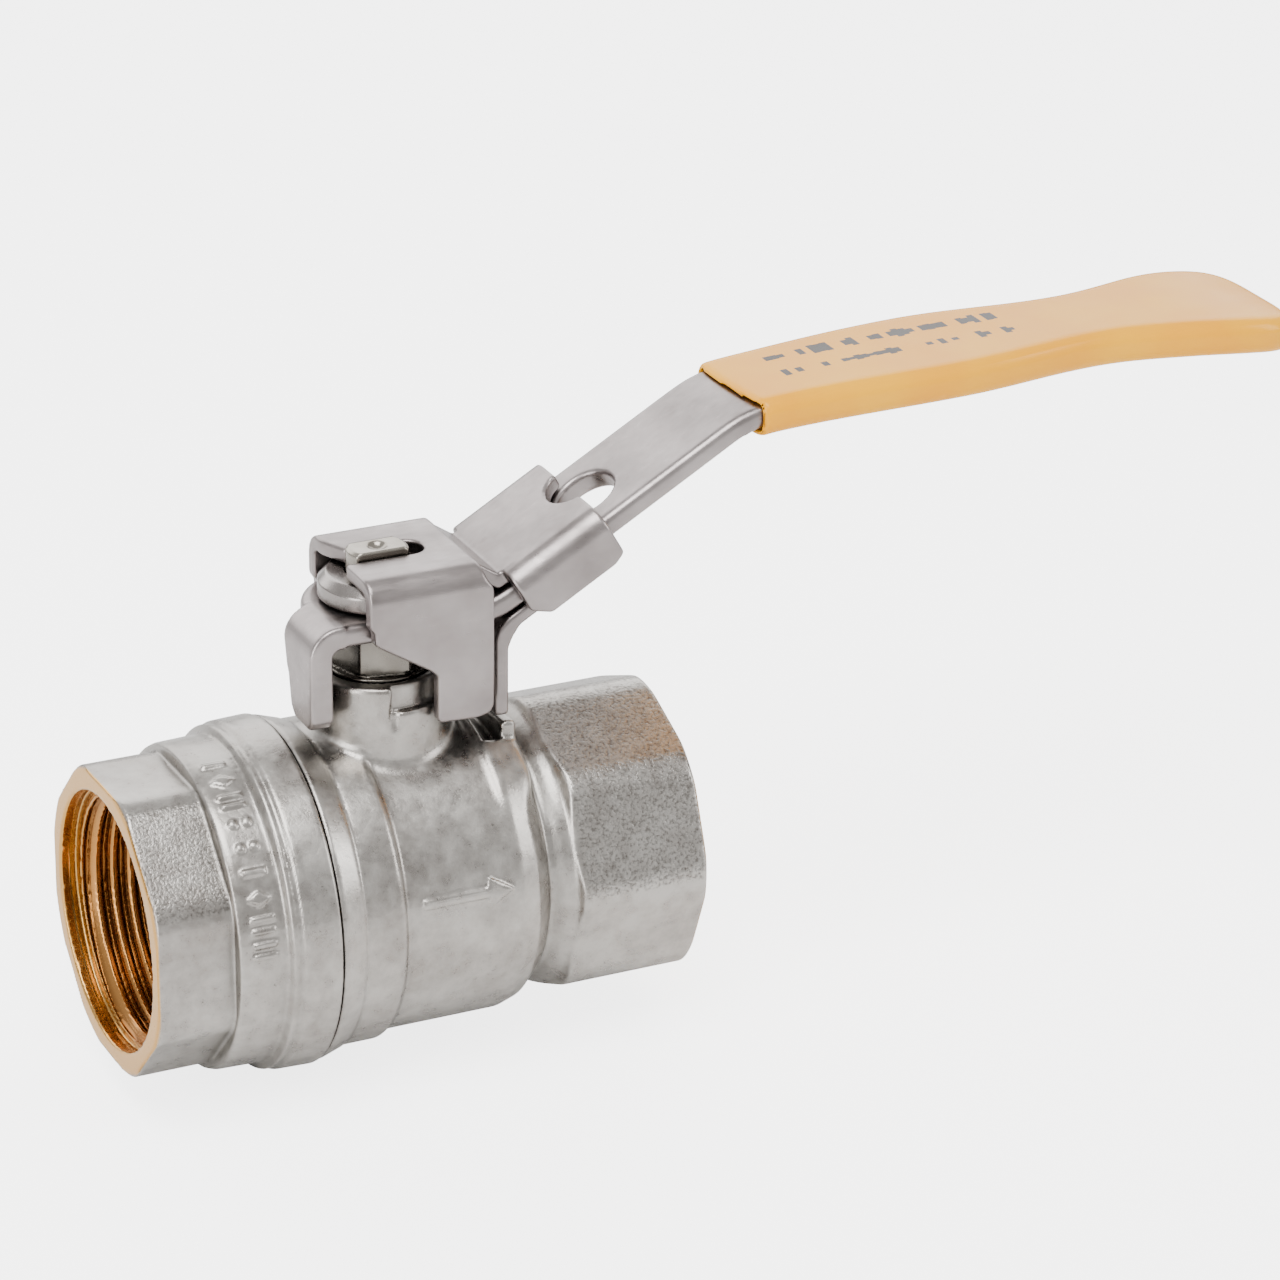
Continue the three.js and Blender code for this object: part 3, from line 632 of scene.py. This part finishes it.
def nutShape(x, y, z):
    rho = np.hypot(x, y)
    return np.maximum(nutOuter(z, rho), 4.1 - rho)


stemLook = {"tangHalf": 2.3, "tangTop": 18.3, "flatHalf": 2.0, "flatFrom": 35.05, "dimple": 1.6}
stemOuter = outlineTable([
    (14.4, -3), (14.4, 6.3), (20, 6.3), (20, 4.9), (21.9, 4.9), (21.9, 4), (23.1, 4), (23.1, 4.9),
    (23.7, 4.9), (23.7, 4), (24.9, 4), (24.9, 4.9), (35, 4.9), (35, 4), (44.7, 4), (45.1, 3.5), (45.1, -3),
], 0.04, 0.05)


def stemShape(x, y, z):
    rho = np.hypot(x, y)
    tang = np.maximum(z - stemLook["tangTop"], stemLook["tangHalf"] - np.abs(y))
    solid = np.maximum(stemOuter(z, rho), -tang)
    solid = smoothMax(solid, np.where(z > stemLook["flatFrom"], np.abs(y) - stemLook["flatHalf"], -3), 0.15)
    dimple = np.hypot(rho, z - 46.0) - stemLook["dimple"]
    return smoothMax(solid, -dimple, 0.2)


glandLook = {"turn": 17.1, "half": 5.5, "hexFrom": 29.5, "bore": 5.05}
glandTurned = outlineTable([
    (28.5, -3), (28.5, 6.5), (29.4, 6.5), (29.5, 5.8), (30.0, 6.4), (34.2, 6.4), (34.8, 5.7), (34.8, -3),
], 0.06, 0.05)


def glandShape(x, y, z):
    rho = np.hypot(x, y)
    hexagon = None
    for k in range(3):
        a = math.radians(glandLook["turn"] + 60 * k)
        side = np.abs(x * math.cos(a) + y * math.sin(a)) - glandLook["half"]
        hexagon = side if hexagon is None else smoothMax(hexagon, side, 0.3)
    solid = np.maximum(glandTurned(z, rho), np.where(z > glandLook["hexFrom"], hexagon, -3))
    return np.maximum(solid, glandLook["bore"] - rho)


# lock plate and its tongue

lockLook = {
    "half": 10.4, "top": 44.2, "sheet": 2.0, "bendRadius": 3.0, "creaseX": 13.5, "creaseZ": 41.7,
    "length": 14.6, "notch": 3.7,
}
levelOutline = outlineTable([
    (-5.2, 46), (-5.2, 38.4), (-4.6, 37.6), (-4.5, 36), (-3, 35), (2.8, 31.4), (3.9, 30.4), (3.9, 24.3),
    (4.2, 24), (9.3, 23.8), (11.0, 24.2), (11.6, 25.2), (11.6, 41.2), (10.8, 42.4), (9.8, 46),
], 0.25)
slopeOutline = outlineTable([
    (0.5, -3), (0.5, 5.6), (2.7, 7.6), (12.9, 7.6), (14.6, 6.9), (14.6, -3),
], 0.25)
dropOutline = outlineTable([
    (8.5, 44.2), (9.7, 44.2), (13.5, 41.7), (16, 43.14), (16.2, 40.9), (13.48, 39.5), (9.2, 42.2),
    (8.5, 42.2),
], 0.25)
slotOutline = outlineTable([
    (-9, -2.3), *arcPoints(3.9, 0, 2.3, -90, 90), (-3.4, 2.3), (-6.3, 8.6), (-9, 12),
], 0.1)


def channelDistance(y, v, look):  # folded sheet, v is the distance under the top face
    corner = look["bendRadius"] - look["sheet"] / 2
    a = np.abs(y) - (look["half"] - look["sheet"] / 2) + corner
    b = -(v - look["sheet"] / 2) + corner
    outline = np.hypot(np.maximum(a, 0), np.maximum(b, 0)) + np.minimum(np.maximum(a, b), 0) - corner
    return np.abs(outline) - look["sheet"] / 2


def slideLockShape(x, y, z):
    look = lockLook
    tilt = leverLook["rise"]
    u = (x - look["creaseX"]) * math.cos(tilt) + (z - look["creaseZ"]) * math.sin(tilt)
    v = (x - look["creaseX"]) * math.sin(tilt) - (z - look["creaseZ"]) * math.cos(tilt)
    level = smoothMax(channelDistance(y, look["top"] - z, look), levelOutline(x, z), 0.5)
    slope = smoothMax(channelDistance(y, v, look), slopeOutline(u, v), 0.5)
    drop = smoothMax(dropOutline(x, z), np.abs(y) - 7.4, 0.5)
    solid = smoothMin(np.minimum(level, slope), drop, 0.25)
    slot = np.maximum(slotOutline(x, y), 41 - z)
    notch = np.hypot(u - look["length"] - 0.6, y) - look["notch"]
    notch = np.maximum(notch, v - 4)
    return smoothMax(smoothMax(solid, -slot, 0.4), -notch, 0.4)


tongueLook = {"half": 8.1, "gap": 0.35, "sheet": 2.08}  # the gap is the room under the bar


def tongueTop(x):
    look = leverLook
    under = look["top"] - look["thick"] / math.cos(look["rise"]) - tongueLook["gap"]
    return under + (x - look["riseStart"]) * math.tan(look["rise"])


tongueOutline = outlineTable([
    (12.8, 22.4), (14.6, 22.4), (14.6, 31.6), (15.2, 33.0), (16.2, tongueTop(16.2) - tongueLook["sheet"]),
    (22.5, tongueTop(22.5) - tongueLook["sheet"]), (22.5, tongueTop(22.5)),
    (14.6, tongueTop(14.6)), (13.2, 34.2), (12.8, 33),
], 0.25)


def tongueShape(x, y, z):
    return smoothMax(tongueOutline(x, z), np.abs(y) - tongueLook["half"], 0.5)


ballLook = {"radius": 18, "bore": 12.5, "slotHalf": 2.6, "slotFloor": 14}


def ballShape(x, y, z):
    ball = np.sqrt(x * x + y * y + z * z) - ballLook["radius"]
    slot = np.maximum(np.abs(y) - ballLook["slotHalf"], ballLook["slotFloor"] - z)
    return np.maximum(smoothMax(ball, ballLook["bore"] - np.hypot(y, z), 0.8), -slot)


# name, shape, low and high corner of its room, cell, material, then the body it rides, the node and the slot
pieces = [
    ("endCap", endCapShape, (-38, -23.2, -23.2), (-8, 23.2, 23.2), 0.34, platedCap,
     "housing", "end_cap", "plated_brass"),
    ("valveBody", bodyShape, (-17, -23.2, -23.2), (38, 23.2, 30), 0.36, platedBody,
     "housing", "body", "plated_brass"),
    ("leverBar", leverShape, (-13, -11, 23), (129, 11, 62), 0.34, zincSteel,
     "lever", "lever_bar", "sheet_steel"),
    ("dippedGrip", gripShape, (47, -12.5, 52), (130.5, 12.5, 64), 0.34, dippedPvc,
     "lever", "grip", "dipped_vinyl"),
    ("slideLock", slideLockShape, (-6.5, -11, 23), (30, 11, 50), 0.26, zincSteel,
     "latch", "slide_lock", "sheet_steel"),
    ("lockTongue", tongueShape, (12, -9, 22), (24, 9, 41), 0.3, zincSteel,
     "latch", "lock_tongue", "sheet_steel"),
    ("leverNut", nutShape, (-8, -8, 38), (8, 8, 42.5), 0.2, turnedSteel,
     "lever", "lever_nut", "sheet_steel"),
    ("valveStem", stemShape, (-7, -7, 14), (7, 7, 45.6), 0.2, turnedNickel,
     "lever", "stem", "stem_brass"),
    ("glandNut", glandShape, (-7, -7, 28), (7, 7, 35.4), 0.2, turnedNickel,
     "housing", "gland_nut", "stem_brass"),
    ("valveBall", ballShape, (-19, -19, -19), (19, 19, 19), 0.4, chromedBrass,
     "lever", "ball", "polished_ball"),
]
for row in pieces:
    skinShape(*row)

# pieces inside the valve keep their own shape and take a material
carried = {
    "seat_ring_inlet": ptfe, "seat_ring_outlet": ptfe, "stem_thrust_washer": ptfe, "stem_packing": ptfe,
    "seat_o_ring_inlet": nitrile, "seat_o_ring_outlet": nitrile, "body_seal_ring": nitrile,
    "stem_o_ring_lower": nitrile, "stem_o_ring_upper": nitrile, "gland_follower": turnedBrass,
}
for nodeName, material in carried.items():
    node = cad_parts[nodeName]
    node.data.materials.clear()
    node.data.materials.append(material)
print("pieces done")


# stage, lights and camera

stageLook = {
    "floorSize": 3.0, "floorDrop": 0.0005, "floorLow": "#F1F1F1", "floorHigh": "#F5F5F5", "floorGlow": 3.6,
    "world": "#FFFFFF", "worldStrength": 0.72,
}
floorMaterial, floorTree, floorShader, floorWhere = newMaterial("paintedStudioFloor", Roughness=0.6)
floorTone = remap(floorTree, noiseOf(floorTree, floorWhere, 60, 2), 0.3, 0.7, 0.0, 1.0)
floorBase = mixColours(floorTree, floorTone, colour(stageLook["floorLow"]), colour(stageLook["floorHigh"]))
floorTree.links.new(floorBase, floorShader.inputs["Base Color"])
# the floor glows for the camera only, so it reads near white without lighting the part
seen = addNode(floorTree, "LightPath").outputs["Is Camera Ray"]
floorGlow = mathOf(floorTree, "MULTIPLY", seen, stageLook["floorGlow"])
floorShader.inputs["Emission Color"].default_value = colour("#FFFFFF")
floorTree.links.new(floorGlow, floorShader.inputs["Emission Strength"])
floorHeight = cadBox[0][2] - stageLook["floorDrop"]
bpy.ops.mesh.primitive_plane_add(size=stageLook["floorSize"], location=(0, 0, floorHeight))
floor = bpy.context.object
floor.name = "studioFloor"
floor.data.materials.append(floorMaterial)

world = bpy.data.worlds.new("softRoom")
bpy.context.scene.world = world
world.use_nodes = True
background = next(n for n in world.node_tree.nodes if n.type == "BACKGROUND")
background.inputs["Color"].default_value = colour(stageLook["world"])
background.inputs["Strength"].default_value = stageLook["worldStrength"]


def addLight(name, place, target, size, power):
    data = bpy.data.lights.new(name, "AREA")
    data.shape = "RECTANGLE"
    data.size, data.size_y = size
    data.energy = power
    light = bpy.data.objects.new(name, data)
    bpy.context.collection.objects.link(light)
    back = np.array(place, float) - np.array(target, float)
    back /= np.linalg.norm(back)
    right = np.cross((0, 0, 1), back)
    right /= np.linalg.norm(right)
    up = np.cross(back, right)
    light.matrix_world = Matrix([[right[i], up[i], back[i], place[i]] for i in range(3)] + [[0, 0, 0, 1]])
    return light


# place and target in metres, then width and height, then watts
addLight("softboxTop", (-0.15, -0.25, 0.75), (0.02, 0, 0), (0.5, 0.5), 6)
addLight("softboxLeft", (-0.7, -0.35, 0.25), (0, 0, 0.01), (0.3, 0.6), 3.5)
addLight("softboxRight", (0.7, -0.4, 0.35), (0.03, 0, 0.02), (0.25, 0.5), 2)
addLight("softboxBack", (0.2, 1.0, 0.6), (0.02, 0, 0), (2.2, 0.8), 12)

cameraLook = {
    "azimuth": -25.88, "elevation": 23.632, "roll": 0.808, "lens": 140.757,
    "place": (-223.12, -535.85, 286.16),
}
azimuth, elevation, roll = (math.radians(cameraLook[k]) for k in ("azimuth", "elevation", "roll"))
level = math.cos(elevation)
back = np.array([math.sin(azimuth) * level, -math.cos(azimuth) * level, math.sin(elevation)])
right = np.array([math.cos(azimuth), math.sin(azimuth), 0])
up = np.cross(back, right)
rolledRight = right * math.cos(roll) + up * math.sin(roll)
rolledUp = up * math.cos(roll) - right * math.sin(roll)
cameraData = bpy.data.cameras.new("camera")
cameraData.sensor_width = 36
cameraData.lens = cameraLook["lens"]
cameraData.clip_start = 0.01
camera = bpy.data.objects.new("camera", cameraData)
bpy.context.collection.objects.link(camera)
rows = [[rolledRight[i], rolledUp[i], back[i], cameraLook["place"][i] * mm] for i in range(3)]
camera.matrix_world = Matrix(rows + [[0, 0, 0, 1]])
bpy.context.scene.camera = camera
print("stage ready")
